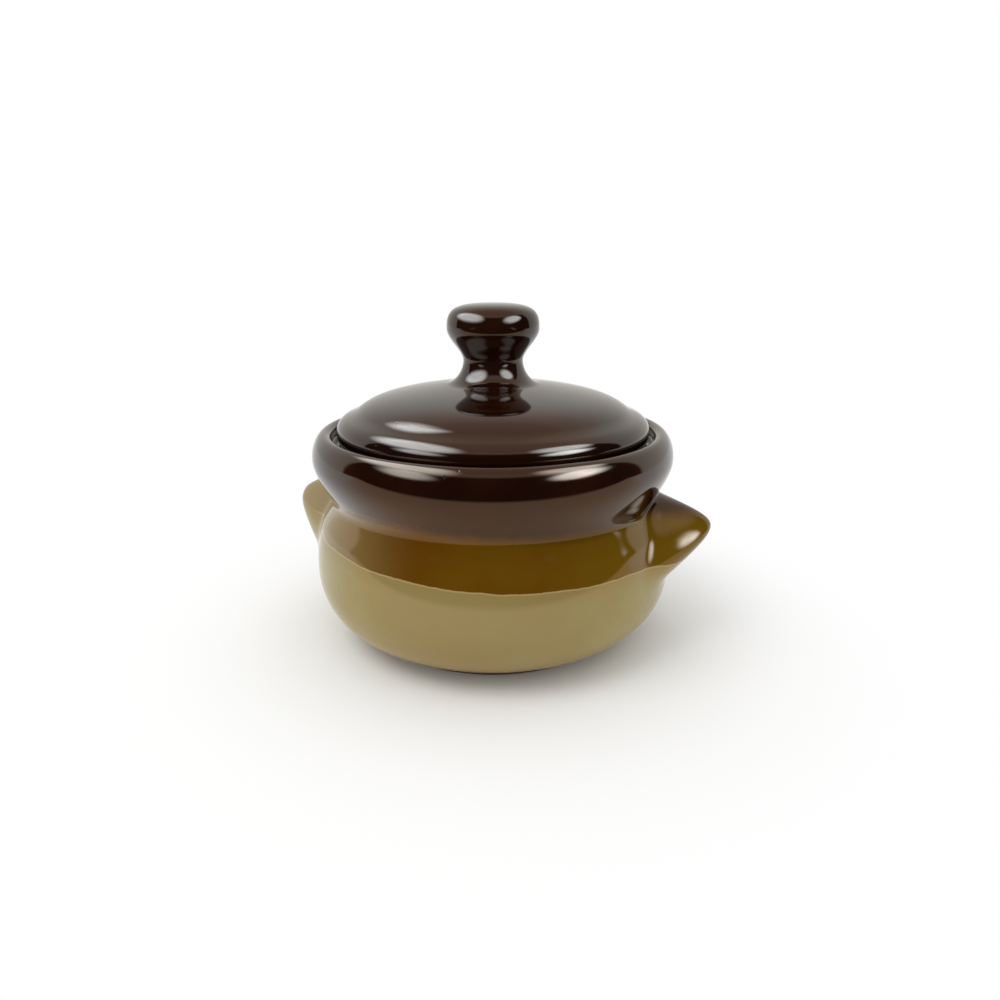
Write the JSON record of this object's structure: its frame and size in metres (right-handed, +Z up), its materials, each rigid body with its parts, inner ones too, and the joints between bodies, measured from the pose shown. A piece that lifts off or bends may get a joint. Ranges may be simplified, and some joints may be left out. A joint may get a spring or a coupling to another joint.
{
  "type": "bean pot",
  "caption": "Squat lidded stoneware bean pot: round belly, drawn-in neck, rolled collar, pinched lug handles and a domed lid with a mushroom knob resting on a ledge in the rim.",
  "frame": {"origin": "centre of the foot ring's flat underside, on the table", "axes": "+Z up along the axis the pot was turned on, +X out along one lug handle and -X out along the other"},
  "size_m": [0.1552, 0.128, 0.1178],
  "materials": {
    "bowl_glaze": "gloss",
    "handle_glaze": "gloss",
    "lid_glaze": "gloss",
    "knob_glaze": "gloss"
  },
  "bodies": {
    "pot": {"pot_bowl": "bowl_glaze", "right_handle": "handle_glaze", "left_handle": "handle_glaze"},
    "lid": {"lid": "lid_glaze", "lid_knob": "knob_glaze"}
  },
  "joints": [
    {"name": "lid_lift", "type": "slide", "parent": "pot", "child": "lid", "axis": [0, 0, 1], "range_m": [0, 0.1]}
  ]
}
